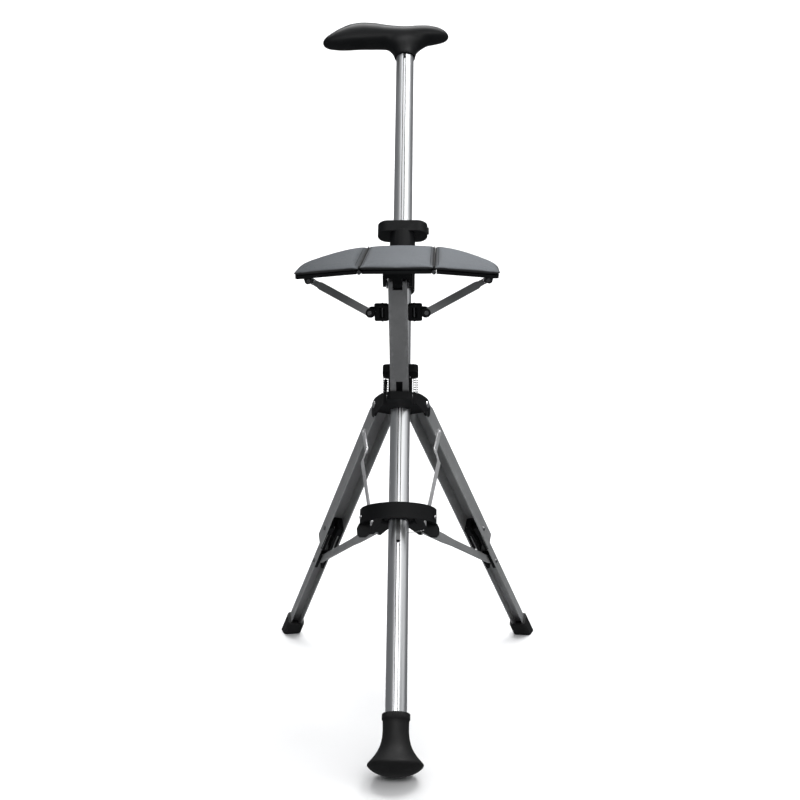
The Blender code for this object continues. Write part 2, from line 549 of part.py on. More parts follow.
# ---- collar -----------------------------------------------------------------
cu_ = COLLAR_U
collar = piece("collar_pull", "plastic", collar_f,
               moved(rod(15.0, (0, ARM_V, 545 - cu_), (0, ARM_V, 620 - cu_), 28), Matrix()),
               ("+", plate([(x, y + ARM_V) for x, y in rounded(-29.5, 29.5, -13.2, 13.2, 12.4, 5)], 618.6 - cu_, 633.0 - cu_)),
               ("+", plate(stadium((0, 0), (ARM_V - 8, -3), 5.4), -4.2, 4.2, "X")),
               ("-", rod(TUBE_R + 0.35, (0, ARM_V, 530 - cu_), (0, ARM_V, 650 - cu_), 28)),
               ("-", rod(2.4, (-9, 0, 0), (9, 0, 0), 14)),
               ("-", block(22.0, 40.0, ARM_V - 3.4, ARM_V + 3.4, 621.6 - cu_, 630.0 - cu_)))
piece("collar_pin", "steel", collar_f, rod(2.1, (-9.4, 0, 0), (9.4, 0, 0), 14),
      ("+", rod(3.4, (9.2, 0, 0), (10.6, 0, 0), 16)), ("+", rod(3.4, (-10.6, 0, 0), (-9.2, 0, 0), 16)))
piece("release_button", "plastic", collar_f, block(25.0, 31.2, ARM_V - 3.0, ARM_V + 3.0, 622.0 - cu_, 629.6 - cu_), bevel=0.8)

# ---- rear legs (right one, then its mirror) ---------------------------------
R_UP, R_LOW = 230.3, 208.3
RIVET_Z, SHOE_Z = -R_UP + 24.5, -LINK_R - 4.0
upper = piece("leg_upper_right", "leg", leg_f,
              plate(arc(0, 0, 7.6, 0, 180, 14) + [(-9.0, -12.0), (-9.0, -R_UP), (14.0, -R_UP), (14.0, -18.0)], -11.0, 11.0, "X"),
              ("-", block(-9.5, 9.5, -30, 12.5, -R_UP - 9, 40)),
              ("-", block(-9.5, 9.5, 10, 30, -3.0, 40)),
              ("-", rod(2.95, (-20, 0, 0), (20, 0, 0), 16)),
              ("-", rod(1.75, (5, 1.0, RIVET_Z), (15, 1.0, RIVET_Z), 12)))
insert = piece("leg_insert_right", "plastic", leg_f, block(-9.2, 9.2, -7.6, 12.2, -R_UP - 3.0, -R_UP + 34.0),
               ("-", block(-7.8, 7.8, -20, 8.6, -R_UP - 9, -R_LOW + 0.3)),
               ("-", block(-2.7, 2.7, -20, 8.6, -R_UP - 9, -R_UP + 40)),
               # ribs that guide the head of the lower channel from inside
               ("+", block(2.7, 5.9, -4.6, 6.8, -R_LOW - 30, -R_LOW + 4)),
               ("+", block(-5.9, -2.7, -4.6, 6.8, -R_LOW - 30, -R_LOW + 4)),
               ("-", rod(1.75, (5, 1.0, RIVET_Z), (15, 1.0, RIVET_Z), 12)))
lower = piece("leg_lower_right", "leg", leg_f, block(-7.5, 7.5, -4.8, 8.3, -LEG_LEN + 15.0, -R_LOW),
              ("-", block(-6.2, 6.2, -20, 7.1, -LEG_LEN - 5, -R_LOW + 10)),
              ("-", rod(1.75, (5, 1.0, RIVET_Z), (15, 1.0, RIVET_Z), 12)),
              ("-", rod(1.75, (5, 1.0, SHOE_Z), (15, 1.0, SHOE_Z), 12)))
bpy.context.view_layer.update()
below = block(-400, 400, -500, 900, -80, 0.0)
boot = piece("leg_boot_right", "rubber", leg_f,
             plate(rounded(-10.6, 10.6, -8.6, 11.6, 4.2, 4), -LEG_LEN - 14, -LEG_LEN + 25.0),
             ("-", block(-7.8, 7.8, -5.1, 8.6, -LEG_LEN + 14.0, -LEG_LEN + 40)))
floor_cut = to_object("leg_boot_right_floor", below, cutters, None)
floor_cut.hide_render = True
floor_cut.display_type = "WIRE"
bm_ = boot.modifiers.new("floor", "BOOLEAN")
bm_.operation = "DIFFERENCE"
bm_.solver = "EXACT"
bm_.object = floor_cut
rivet = piece("leg_rivet_upper_right", "steel", leg_f, rod(1.4, (6.5, 1.0, RIVET_Z), (11.5, 1.0, RIVET_Z), 12),
              ("+", rod(3.0, (11.3, 1.0, RIVET_Z), (12.6, 1.0, RIVET_Z), 16, 2.0)))
rivet2 = piece("leg_rivet_lower_right", "steel", leg_f, rod(1.4, (6.5, 1.0, SHOE_Z), (8.0, 1.0, SHOE_Z), 12),
               ("+", rod(2.8, (7.8, 1.0, SHOE_Z), (9.0, 1.0, SHOE_Z), 16, 1.9)))
strip = piece("tie_strip_right", "grey", strip_f,
              plate(stadium((0, 0), (0, -30), 3.3), 11.4, 12.8, "X"),
              ("+", moved(block(11.4, 12.8, -3.3, 3.3, -52, -27),
                          T(0, 0, 0) @ Matrix.Translation((12.1 * MM, 0, -28.5 * MM)) @ RY(-19.5) @ Matrix.Translation((-12.1 * MM, 0, 28.5 * MM)))),
              ("+", block(19.0, 20.4, -3.3, 3.3, -STRIP_LEN, -48.0)),
              ("+", rod(4.4, (11.5, 0, 0), (12.9, 0, 0), 18)), ("+", rod(2.6, (12.6, 0, 0), (14.2, 0, 0), 14, 1.8)))
for ob, nm in ((upper, "leg_upper_left"), (insert, "leg_insert_left"), (lower, "leg_lower_left"),
               (boot, "leg_boot_left"), (rivet, "leg_rivet_upper_left"),
               (rivet2, "leg_rivet_lower_left"), (strip, "tie_strip_left")):
    mirrored(ob, nm)

# ---- slider -----------------------------------------------------------------
def band_arc(x, y, turn):
    return [(x * math.sin(math.radians(a)), -14.0 - y * math.cos(math.radians(a))) for a in range(-98, 99, 14)][::turn]


band = band_arc(41.0, 27.0, 1) + band_arc(38.2, 24.2, -1)


def lug_shape(bm, side):
    return moved(bm, T(side * HUB.x, -HUB.z, 0) @ RZ(-side * ALPHA))


slider_steps = [("+", rod(16.0, (0, 0, 1.5), (0, 0, 16.0), 28))]
for a in (-38, 38):
    slider_steps.append(("+", moved(block(-2.4, 2.4, -43.0, -13, 2.0, 8.0), RZ(a))))
for s in (1, -1):
    # arm from the core, ending in two cheeks beside the link bar
    slider_steps.append(("+", lug_shape(plate(stadium((-16, 5.5), (LUG_W + 1.5, LUG_Z), 6.2), *sorted((-5.4 * s, 8.9 * s)), "X"), s)))
    slider_steps.append(("-", lug_shape(block(-2.9, 2.9, LUG_W - 6.0, LUG_W + 20, -20, 20), s)))
# ears under the ends of the band
ear = [(29.6, -16.8), (34.6, -20.8), (40.8, -20.8), (43.4, -18.0), (43.8, -12.4), (41.6, -7.2), (37.0, -4.6), (30.0, 0.4)]
slider_steps.append(("+", plate(ear, 11.2, 16.2, "Y")))
slider_steps.append(("+", plate([(-x, z) for x, z in ear][::-1], 11.2, 16.2, "Y")))
slider_steps.append(("-", rod(TUBE_R + 0.35, (0, 0, -20), (0, 0, 20), 28)))
slider_steps.append(("-", rod(1.75, (0, -9, 9.0), (0, -13.4, 9.0), 12)))
for s in (1, -1):
    slider_steps.append(("-", lug_shape(rod(1.75, (-20, LUG_W, LUG_Z), (20, LUG_W, LUG_Z), 12), s)))
piece("slider_ring", "plastic", slider_f, plate(band[::-1], -8.6, 8.6), *slider_steps)
SCREW_TURN = math.degrees(math.atan2(math.sin(math.radians(72)) * 27, math.cos(math.radians(72)) * 41))
screw = piece("slider_screw_right", "steel", slider_f,
              moved(rod(2.4, (0, 0, -2.0), (0, -1.1, -2.0), 14, 1.8), T(39.3, -22.5, 0) @ RZ(SCREW_TURN)))
mirrored(screw, "slider_screw_left")
link = piece("link_bar_right", "leg", link_f,
             plate(arc(0, 0, 5.4, 0, 180, 10) + [(-5.2, -60.0), (-4.0, -88.0)]
                   + arc(0, -LINK_LEN, 4.0, 180, 360, 10) + [(4.0, -88.0), (5.2, -60.0)], -1.7, 1.7, "X"),
             ("-", rod(1.75, (-5, 0, 0), (5, 0, 0), 12)),
             ("-", rod(1.75, (-5, 0, -LINK_LEN), (5, 0, -LINK_LEN), 12)))
mirrored(link, "link_bar_left")
lpin = piece("link_pin_right", "steel", link_f, rod(1.45, (-5.7, 0, 0), (9.2, 0, 0), 12))
mirrored(lpin, "link_pin_left")
shoe = piece("running_shoe_right", "plastic", shoe_f, block(-5.8, 5.8, -4.2, 5.4, -11.0, 11.0),
             ("-", block(-2.2, 2.2, -20, 4.5, -30, 30)),
             ("-", rod(1.75, (-9, 0, 0), (9, 0, 0), 12)))
mirrored(shoe, "running_shoe_left")
spin = piece("shoe_pin_right", "steel", shoe_f, rod(1.45, (-5.6, 0, 0), (5.6, 0, 0), 12))
mirrored(spin, "shoe_pin_left")
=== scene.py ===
"""Looks for the walking stick seat: camera, studio, materials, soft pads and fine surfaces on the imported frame."""
import json
import math

import bmesh
import bpy
from mathutils import Matrix, Vector
from mathutils.bvhtree import BVHTree


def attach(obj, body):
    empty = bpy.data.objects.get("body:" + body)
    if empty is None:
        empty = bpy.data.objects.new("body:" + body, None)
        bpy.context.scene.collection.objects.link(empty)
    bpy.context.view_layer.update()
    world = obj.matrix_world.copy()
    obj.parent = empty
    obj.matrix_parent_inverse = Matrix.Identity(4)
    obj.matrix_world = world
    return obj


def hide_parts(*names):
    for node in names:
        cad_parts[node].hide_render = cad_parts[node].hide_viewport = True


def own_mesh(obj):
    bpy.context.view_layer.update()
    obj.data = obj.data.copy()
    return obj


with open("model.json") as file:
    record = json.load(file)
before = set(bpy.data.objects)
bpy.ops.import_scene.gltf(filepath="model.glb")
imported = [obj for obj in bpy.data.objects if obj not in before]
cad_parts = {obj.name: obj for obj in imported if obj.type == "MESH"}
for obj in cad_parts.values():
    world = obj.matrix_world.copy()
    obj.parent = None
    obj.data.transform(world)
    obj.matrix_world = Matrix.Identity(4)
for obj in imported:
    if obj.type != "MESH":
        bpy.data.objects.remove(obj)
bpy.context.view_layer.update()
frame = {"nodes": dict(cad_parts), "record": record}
NODES, RECORD = frame["nodes"], frame["record"]
BODY = {n: b for b, ns in RECORD["behaviour"]["bodies"].items() for n in ns}
SLOT = {s["node"]: s["material_slot"] for s in RECORD["subparts"]}
SCENE = bpy.context.scene
ROOT = SCENE.collection
MM = 0.001

# ---- the frames of the model, in metres -------------------------------------
TILT, BETA, DROOP = 35.0, 52.0, 5.0
Y_SHIFT, Z_SHIFT = -0.26163, 0.012684792


def R(axis, deg):
    return Matrix.Rotation(math.radians(deg), 4, axis)


def T(x, y, z):
    return Matrix.Translation((x * MM, y * MM, z * MM))


STICK = Matrix.Translation((0, Y_SHIFT, Z_SHIFT)) @ R("X", -TILT)
ARM = STICK @ T(0, -22.0, 399.15) @ R("X", BETA)
SEAT = ARM @ T(0, 0, 133.0) @ R("X", 90 - 2 * BETA)
WING_R = SEAT @ T(38.5, 133.0 - 101.0, 16.0) @ R("Y", DROOP)
WING_L = SEAT @ T(-38.5, 133.0 - 101.0, 16.0) @ R("Y", -DROOP)
SLIDER = STICK @ T(0, 0, 260.0)
SCENE.view_settings.view_transform = "Standard"


# ---- camera -------------------------------------------------------------------
def camera():
    yaw, pit, roll = (math.radians(a) for a in (1.899, 10.104, 0.409))
    fw = Vector((-math.sin(yaw) * math.cos(pit), math.cos(yaw) * math.cos(pit), -math.sin(pit)))
    rt = Vector((math.cos(yaw), math.sin(yaw), 0))
    dn = fw.cross(rt)
    right = rt * math.cos(roll) + dn * math.sin(roll)
    up = rt * math.sin(roll) - dn * math.cos(roll)
    cam = bpy.data.cameras.new("photo_camera")
    cam.lens, cam.sensor_width = 58.5, 36.0
    cam.clip_end = 50.0
    ob = bpy.data.objects.new("photo_camera", cam)
    ROOT.objects.link(ob)
    m = Matrix((right, up, -fw)).transposed().to_4x4()
    m.translation = (0.0470, -1.1971 + Y_SHIFT, 0.5862 + Z_SHIFT)
    ob.matrix_world = m
    SCENE.camera = ob


camera()


# ---- materials ------------------------------------------------------------------
def new_material(name):
    m = bpy.data.materials.new(name)
    m.use_nodes = True
    return m, m.node_tree, m.node_tree.nodes["Principled BSDF"]


def node(t, kind, inputs=None, **props):
    n = t.nodes.new(kind)
    for k, v in props.items():
        setattr(n, k, v)
    for k, v in (inputs or {}).items():
        n.inputs[k].default_value = v
    return n


def link(t, a, b):
    t.links.new(a, b)


def coords(t, scale=(1, 1, 1), turn=(0, 0, 0)):
    tc = node(t, "ShaderNodeTexCoord")
    mp = node(t, "ShaderNodeMapping", {"Scale": scale, "Rotation": [math.radians(a) for a in turn]})
    link(t, tc.outputs["Object"], mp.inputs["Vector"])
    return mp.outputs["Vector"]


def noise(t, vec, scale, detail=3.0, rough=0.55):
    n = node(t, "ShaderNodeTexNoise", {"Scale": scale, "Detail": detail, "Roughness": rough})
    link(t, vec, n.inputs["Vector"])
    return n.outputs["Fac"]


def spread(t, fac, low, high, f0=0.3, f1=0.7):
    n = node(t, "ShaderNodeMapRange", {"From Min": f0, "From Max": f1, "To Min": low, "To Max": high})
    link(t, fac, n.inputs["Value"])
    return n.outputs["Result"]


def two_tone(t, fac, a, b, f0=0.3, f1=0.7):
    n = node(t, "ShaderNodeValToRGB")
    n.color_ramp.elements[0].position, n.color_ramp.elements[1].position = f0, f1
    n.color_ramp.elements[0].color, n.color_ramp.elements[1].color = (*a, 1), (*b, 1)
    link(t, fac, n.inputs["Fac"])
    return n.outputs["Color"]


def bumps(t, bsdf, *heights):
    """Bump nodes in a row: (height, strength, distance in metres)."""
    last = None
    for h, strength, dist in heights:
        b = node(t, "ShaderNodeBump", {"Strength": strength, "Distance": dist})
        link(t, h, b.inputs["Height"])
        if last is not None:
            link(t, last, b.inputs["Normal"])
        last = b.outputs["Normal"]
    link(t, last, bsdf.inputs["Normal"])


def worn_edges(t, colour, edge, p0=0.52, p1=0.62):
    """Lighter metal where the coat is rubbed along edges."""
    g = node(t, "ShaderNodeNewGeometry")
    r = spread(t, g.outputs["Pointiness"], 0.0, 1.0, p0, p1)
    scuff = noise(t, coords(t), 160.0, 4.0, 0.7)
    m = node(t, "ShaderNodeMath", operation="MULTIPLY")
    link(t, r, m.inputs[0])
    link(t, spread(t, scuff, 0.0, 0.7, 0.45, 0.7), m.inputs[1])
    x = node(t, "ShaderNodeMix", data_type="RGBA")
    link(t, m.outputs[0], x.inputs["Factor"])
    link(t, colour, x.inputs[6])
    x.inputs[7].default_value = (*edge, 1)
    return x.outputs[2]


def aluminium():
    m, t, b = new_material("drawn_aluminium")
    v = coords(t, (1500, 1500, 5), (TILT, 0, 0))
    streak = noise(t, v, 1.0, 2.0)
    cloud = noise(t, coords(t), 18.0)
    link(t, two_tone(t, streak, (0.765, 0.778, 0.79), (0.795, 0.806, 0.816)), b.inputs["Base Color"])
    b.inputs["Metallic"].default_value = 1.0
    r = node(t, "ShaderNodeMath", operation="ADD")
    link(t, spread(t, streak, 0.29, 0.33), r.inputs[0])
    link(t, spread(t, cloud, 0.0, 0.04), r.inputs[1])
    link(t, r.outputs[0], b.inputs["Roughness"])
    bumps(t, b, (streak, 0.008, 0.00002))
    return m


def coated_metal(name, dark, light, rough, turn=(0, 0, 0)):
    m, t, b = new_material(name)
    cloud = noise(t, coords(t), 35.0, 4.0)
    peel = noise(t, coords(t), 1700.0, 2.0)
    draw = noise(t, coords(t, (900, 900, 12), turn), 1.0, 2.0)
    col = two_tone(t, cloud, dark, light)
    link(t, worn_edges(t, col, (0.55, 0.55, 0.56)), b.inputs["Base Color"])
    b.inputs["Metallic"].default_value = 0.55
    link(t, spread(t, draw, rough - 0.07, rough + 0.09), b.inputs["Roughness"])
    bumps(t, b, (peel, 0.10, 0.00008), (draw, 0.06, 0.00005))
    return m


def moulded(name, dark, light, rough, grain, strength, coat=0.0, spec=0.3):
    m, t, b = new_material(name)
    cloud = noise(t, coords(t), 28.0, 3.0)
    fine = noise(t, coords(t), grain, 3.0, 0.65)
    link(t, two_tone(t, cloud, dark, light), b.inputs["Base Color"])
    link(t, spread(t, fine, rough - 0.08, rough + 0.1), b.inputs["Roughness"])
    b.inputs["Specular IOR Level"].default_value = spec
    b.inputs["Coat Weight"].default_value = coat
    b.inputs["Coat Roughness"].default_value = 0.3
    bumps(t, b, (fine, strength, 0.00015))
    return m


def plated(name, dark, light):
    m, t, b = new_material(name)
    fine = noise(t, coords(t), 900.0, 4.0, 0.7)
    cloud = noise(t, coords(t), 120.0, 2.0)
    link(t, two_tone(t, cloud, dark, light), b.inputs["Base Color"])
    b.inputs["Metallic"].default_value = 1.0
    link(t, spread(t, fine, 0.14, 0.3), b.inputs["Roughness"])
    bumps(t, b, (fine, 0.05, 0.00005))
    return m


def leather():
    m, t, b = new_material("grained_leather")
    base = coords(t)
    warp = node(t, "ShaderNodeTexNoise", {"Scale": 420.0, "Detail": 2.0})
    link(t, base, warp.inputs["Vector"])
    add = node(t, "ShaderNodeVectorMath", operation="MULTIPLY_ADD")
    add.inputs[1].default_value = (0.0009, 0.0009, 0.0009)
    link(t, warp.outputs["Color"], add.inputs[0])
    link(t, base, add.inputs[2])
    cell = node(t, "ShaderNodeTexVoronoi", {"Scale": 820.0}, feature="DISTANCE_TO_EDGE")
    link(t, add.outputs[0], cell.inputs["Vector"])
    grain = spread(t, cell.outputs["Distance"], 0.0, 1.0, 0.0, 0.22)
    cloud = noise(t, base, 22.0, 4.0)
    pore = noise(t, base, 2600.0, 2.0)
    # painted light: the leather's base tone rises with x, darker on the left wing and lighter on the right, as if lit
    # from the right; the cloud adds random tone on top
    place = node(t, "ShaderNodeSeparateXYZ")
    link(t, base, place.inputs[0])
    painted_light_across = node(t, "ShaderNodeMath", operation="MULTIPLY_ADD")
    painted_light_across.inputs[1].default_value, painted_light_across.inputs[2].default_value = 2.6, 0.25
    link(t, place.outputs["X"], painted_light_across.inputs[0])
    cloud_and_painted_light = node(t, "ShaderNodeMath", operation="ADD")
    link(t, painted_light_across.outputs[0], cloud_and_painted_light.inputs[0])
    link(t, spread(t, cloud, 0.225, 0.275), cloud_and_painted_light.inputs[1])
    tone = two_tone(t, cloud_and_painted_light.outputs[0], (0.050, 0.056, 0.063), (0.119, 0.129, 0.141), 0.25, 0.55)
    x = node(t, "ShaderNodeMix", data_type="RGBA")
    x.blend_type = "MULTIPLY"
    x.inputs["Factor"].default_value = 1.0
    link(t, tone, x.inputs[6])
    link(t, two_tone(t, grain, (0.6, 0.6, 0.6), (1, 1, 1), 0.0, 0.6), x.inputs[7])
    # painted shade: where the pad's top turns over at the rims (the roll attribute), the leather darkens to near
    # black
    roll = node(t, "ShaderNodeAttribute", attribute_name="roll")
    turn = node(t, "ShaderNodeMix", data_type="RGBA")
    link(t, roll.outputs["Fac"], turn.inputs["Factor"])
    link(t, x.outputs[2], turn.inputs[6])
    turn.inputs[7].default_value = (0.0055, 0.0060, 0.0068, 1)
    link(t, turn.outputs[2], b.inputs["Base Color"])
    link(t, spread(t, grain, 0.84, 0.72, 0.0, 1.0), b.inputs["Roughness"])
    b.inputs["Specular IOR Level"].default_value = 0.18
    b.inputs["Sheen Weight"].default_value = 0.05
    b.inputs["Sheen Roughness"].default_value = 0.5
    bumps(t, b, (grain, 0.22, 0.0002), (pore, 0.08, 0.0001))
    return m


M_ALU = aluminium()
M_GREY = coated_metal("grey_coat", (0.180, 0.182, 0.185), (0.212, 0.214, 0.217), 0.46, (TILT - BETA, 0, 0))
M_STRUT = coated_metal("strut_coat", (0.175, 0.177, 0.180), (0.210, 0.212, 0.215), 0.46, (TILT - BETA, 0, 0))
M_LEG = coated_metal("leg_coat", (0.275, 0.279, 0.283), (0.330, 0.334, 0.338), 0.42)
M_BLACK = moulded("black_moulding", (0.0042, 0.0046, 0.0050), (0.0070, 0.0074, 0.0080), 0.44, 1500.0, 0.08, 0.0, 0.10)
M_GLOSS = moulded("button_moulding", (0.007, 0.007, 0.0075), (0.011, 0.011, 0.0115), 0.24, 900.0, 0.03, 0.2)
M_GRIP = moulded("soft_grip", (0.0036, 0.0040, 0.0045), (0.0060, 0.0064, 0.0070), 0.40, 2200.0, 0.08, 0.0, 0.14)
M_RUBBER = moulded("tip_rubber", (0.005, 0.005, 0.0053), (0.009, 0.009, 0.0092), 0.54, 1100.0, 0.12, 0.0, 0.25)
M_BAND = moulded("pad_side_band", (0.0060, 0.0066, 0.0074), (0.0100, 0.0108, 0.0118), 0.60, 1900.0, 0.20)
M_STEEL = plated("bright_plate", (0.56, 0.56, 0.57), (0.68, 0.68, 0.69))
M_DARK = plated("oiled_steel", (0.16, 0.16, 0.165), (0.24, 0.24, 0.245))
M_RIVET = plated("dull_rivet", (0.28, 0.28, 0.285), (0.38, 0.38, 0.385))
M_STRIP = coated_metal("rolled_strip", (0.50, 0.50, 0.505), (0.60, 0.60, 0.61), 0.36)
# dark plated steel: the springs' own finish, and also laid in the tube's grooves as painted shade
M_SPRING_STEEL_AND_GROOVE_SHADE = plated("spring_steel_and_groove_shade", (0.07, 0.07, 0.073), (0.11, 0.11, 0.114))
M_PAD = leather()
M_THREAD = moulded("seam_thread", (0.020, 0.022, 0.025), (0.032, 0.034, 0.038), 0.7, 3000.0, 0.3)
BY_SLOT = {"tube": M_ALU, "grip": M_GRIP, "rubber": M_RUBBER, "plastic": M_BLACK, "button": M_GLOSS,
           "grey_steel": M_GREY, "leg": M_LEG, "steel": M_STEEL, "pad": M_PAD}


# ---- pieces -----------------------------------------------------------------------
def add_piece(name, mesh, mat, node_name=None, body=None):
    ob = bpy.data.objects.new(name, mesh)
    ROOT.objects.link(ob)
    mesh.materials.clear()
    mesh.materials.append(mat)
    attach(ob, body or BODY[node_name])
    if node_name:
        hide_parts(node_name)
    return ob


def clean(node_name):
    """The node's shape as whole faces, ready for rounding."""
    bm = bmesh.new()
    bm.from_mesh(NODES[node_name].data)
    bmesh.ops.remove_doubles(bm, verts=bm.verts, dist=2e-6)
    bmesh.ops.dissolve_limit(bm, angle_limit=math.radians(0.6), verts=bm.verts, edges=bm.edges,
                             delimit=set())
    bmesh.ops.recalc_face_normals(bm, faces=bm.faces)
    return bm


def hard(node_name, bevel=0.4, seg=2, sharp=35.0, mat=None):
    """A hard part with rounded edges in place of the faceted one."""
    bm = clean(node_name)
    me = bpy.data.meshes.new(node_name + "_skin")
    bm.to_mesh(me)
    bm.free()
    for k in list(me.attributes.keys()):
        if k == "custom_normal":
            me.attributes.remove(me.attributes[k])
    ob = add_piece(node_name + "_skin", me, mat or BY_SLOT[SLOT[node_name]], node_name)
    if bevel:
        mod = ob.modifiers.new("edges", "BEVEL")
        mod.width = bevel * MM
        mod.segments = seg
        mod.limit_method = "ANGLE"
        mod.angle_limit = math.radians(sharp)
        mod.miter_outer = "MITER_ARC"
        mod.harden_normals = False
    me.shade_smooth()
    me.set_sharp_from_angle(angle=math.radians(sharp))
    if bevel:
        ob.modifiers.new("normals", "WEIGHTED_NORMAL").keep_sharp = True
    return ob


def applied(ob, name):
    bpy.context.view_layer.update()
    dg = bpy.context.evaluated_depsgraph_get()
    me = bpy.data.meshes.new_from_object(ob.evaluated_get(dg))
    me.name = name
    return me


# tube: round, with the two drawn grooves, the slot and the small hole
def tube():
    outer, n = 11.0, 144
    pts = []
    for i in range(n):
        a = 2 * math.pi * i / n
        x, y = outer * math.sin(a), -outer * math.cos(a)
        pts.append((x, y))
    ring = []
    for x, y in pts:
        if y < 0 and abs(x) < 3.6:
            continue
        ring.append((x, y))
    # front strip with grooves, from left to right
    front = []
    for x in (-3.6, -2.8, -2.05, -1.9, -1.6, -1.3, -1.15, -0.6, 0.0, 0.6, 1.15, 1.3, 1.6, 1.9, 2.05, 2.8, 3.6):
        depth = 0.75 if abs(abs(x) - 1.6) < 0.35 else 0.0
        front.append((x, -math.sqrt(outer ** 2 - x ** 2) + depth))
    ring.sort(key=lambda p: math.atan2(p[0], -p[1]) % (2 * math.pi))
    loop = ring + front
    bm = bmesh.new()

    def loops(scale_r, z):
        out = []
        for x, y in loop:
            if scale_r:
                k = 9.2 / math.hypot(x, y)
                x, y = x * k, y * k
            out.append(bm.verts.new((x * MM, y * MM, z * MM)))
        return out
    o0, o1 = loops(False, 42.0), loops(False, 905.0)
    i0, i1 = loops(True, 42.0), loops(True, 905.0)
    m = len(loop)
    for k in range(m):
        j = (k + 1) % m
        bm.faces.new((o0[k], o0[j], o1[j], o1[k]))
        bm.faces.new((i1[k], i1[j], i0[j], i0[k]))
        bm.faces.new((o1[k], o1[j], i1[j], i1[k]))
        bm.faces.new((i0[k], i0[j], o0[j], o0[k]))
    bmesh.ops.recalc_face_normals(bm, faces=bm.faces)
    bm.transform(STICK)
    me = bpy.data.meshes.new("pole_tube_skin")
    bm.to_mesh(me)
    bm.free()
    tmp = bpy.data.objects.new("tube_tmp", me)
    ROOT.objects.link(tmp)
    cuts = []
    bm = bmesh.new()
    for z0, z1, w in ((236.0, 277.0, 2.1),):
        rim = []
        for c, a0 in ((z1, 0), (z0, 180)):
            for i in range(13):
                a = math.radians(a0 + 180 * i / 12)
                rim.append((w * math.cos(a), c + w * math.sin(a)))
        lo = [bm.verts.new((x * MM, -0.0140, z * MM)) for x, z in rim]
        hi = [bm.verts.new((x * MM, -0.0074, z * MM)) for x, z in rim]
        bm.faces.new(lo)
        bm.faces.new(hi[::-1])
        for k in range(len(rim)):
            j = (k + 1) % len(rim)
            bm.faces.new((lo[k], hi[k], hi[j], lo[j]))
    d = Vector((math.sin(math.radians(46)), -math.cos(math.radians(46)), 0))
    q = Vector((0, 0, 1)).rotation_difference(d).to_matrix().to_4x4()
    bmesh.ops.create_cone(bm, cap_ends=True, segments=20, radius1=0.0014, radius2=0.0014, depth=0.005,
                          matrix=Matrix.Translation(d * 0.0105 + Vector((0, 0, 0.466))) @ q)
    bmesh.ops.recalc_face_normals(bm, faces=bm.faces)
    bm.transform(STICK)
    cm = bpy.data.meshes.new("tube_cut")
    bm.to_mesh(cm)
    bm.free()
    cut = bpy.data.objects.new("tube_cut", cm)
    ROOT.objects.link(cut)
    mod = tmp.modifiers.new("cut", "BOOLEAN")
    mod.operation, mod.solver, mod.object = "DIFFERENCE", "EXACT", cut
    out = applied(tmp, "pole_tube_skin")
    bpy.data.objects.remove(tmp)
    bpy.data.objects.remove(cut)
    out.shade_smooth()
    out.set_sharp_from_angle(angle=math.radians(28))
    ob = add_piece("pole_tube_skin", out, M_ALU, "pole_tube")
    # painted shade: the faces in the two grooves get the dark plated material so that the grooves read as dark lines
    out.materials.append(M_SPRING_STEEL_AND_GROOVE_SHADE)
    inv = STICK.inverted()
    for f in out.polygons:
        c = inv @ f.center
        if c.y < 0 and 0.0011 < abs(c.x) < 0.0021 and 0.0096 < math.hypot(c.x, c.y) < 0.01085:
            f.material_index = 1
    return ob


tube()


# handle: one flowing soft form
def grip():
    bm = clean("handle_grip")
    bmesh.ops.create_cube(bm, size=0.001, matrix=STICK @ T(0, -12.4, 884.2) @ Matrix.Diagonal((3.4, 2.2, 5.6, 1)))
    me = bpy.data.meshes.new("grip_tmp")
    bm.to_mesh(me)
    bm.free()
    tmp = bpy.data.objects.new("grip_tmp", me)
    ROOT.objects.link(tmp)
    m = tmp.modifiers.new("voxels", "REMESH")
    m.mode, m.voxel_size = "VOXEL", 0.0015
    s = tmp.modifiers.new("flow", "CORRECTIVE_SMOOTH")
    s.factor, s.iterations, s.smooth_type, s.use_only_smooth = 0.5, 26, "SIMPLE", True
    out = applied(tmp, "handle_grip_skin")
    bpy.data.objects.remove(tmp)
    # smoothing thins the form: the swell is put back, with a little more on the left lobe
    inv = STICK.inverted()
    push = [v.normal.copy() for v in out.vertices]
    for v, n in zip(out.vertices, push):
        c = inv @ v.co
        lobe = max(0.0, 1.0 - ((c.x + 0.060) / 0.034) ** 2) * min(1.0, max(0.0, (c.z - 0.908) / 0.010))
        v.co = STICK @ (c + Vector((0, 0, 0.0015 * lobe))) + n * 0.0006
    out.update()
    out.shade_smooth()
    return add_piece("handle_grip_skin", out, M_GRIP, "handle_grip")


grip()


# rounded bar between two corners of a frame, in mm
def bar(name, local, low, high, round_mm, mat, body):
    bm = bmesh.new()
    mid = [(a + b) / 2 for a, b in zip(low, high)]
    bmesh.ops.create_cube(bm, size=0.001, matrix=T(*mid) @ Matrix.Diagonal((*(b - a for a, b in zip(low, high)), 1)))
    bmesh.ops.bevel(bm, geom=list(bm.edges), offset=round_mm * MM, segments=3, profile=0.5, affect="EDGES")
    bm.transform(local)
    me = bpy.data.meshes.new(name)
    bm.to_mesh(me)
    bm.free()
    me.shade_smooth()
    return add_piece(name, me, mat, None, body)


bar("grip_key", STICK, (-1.0, -11.7, 875.5), (1.0, -10.7, 884.0), 0.3, M_BLACK, "stick")


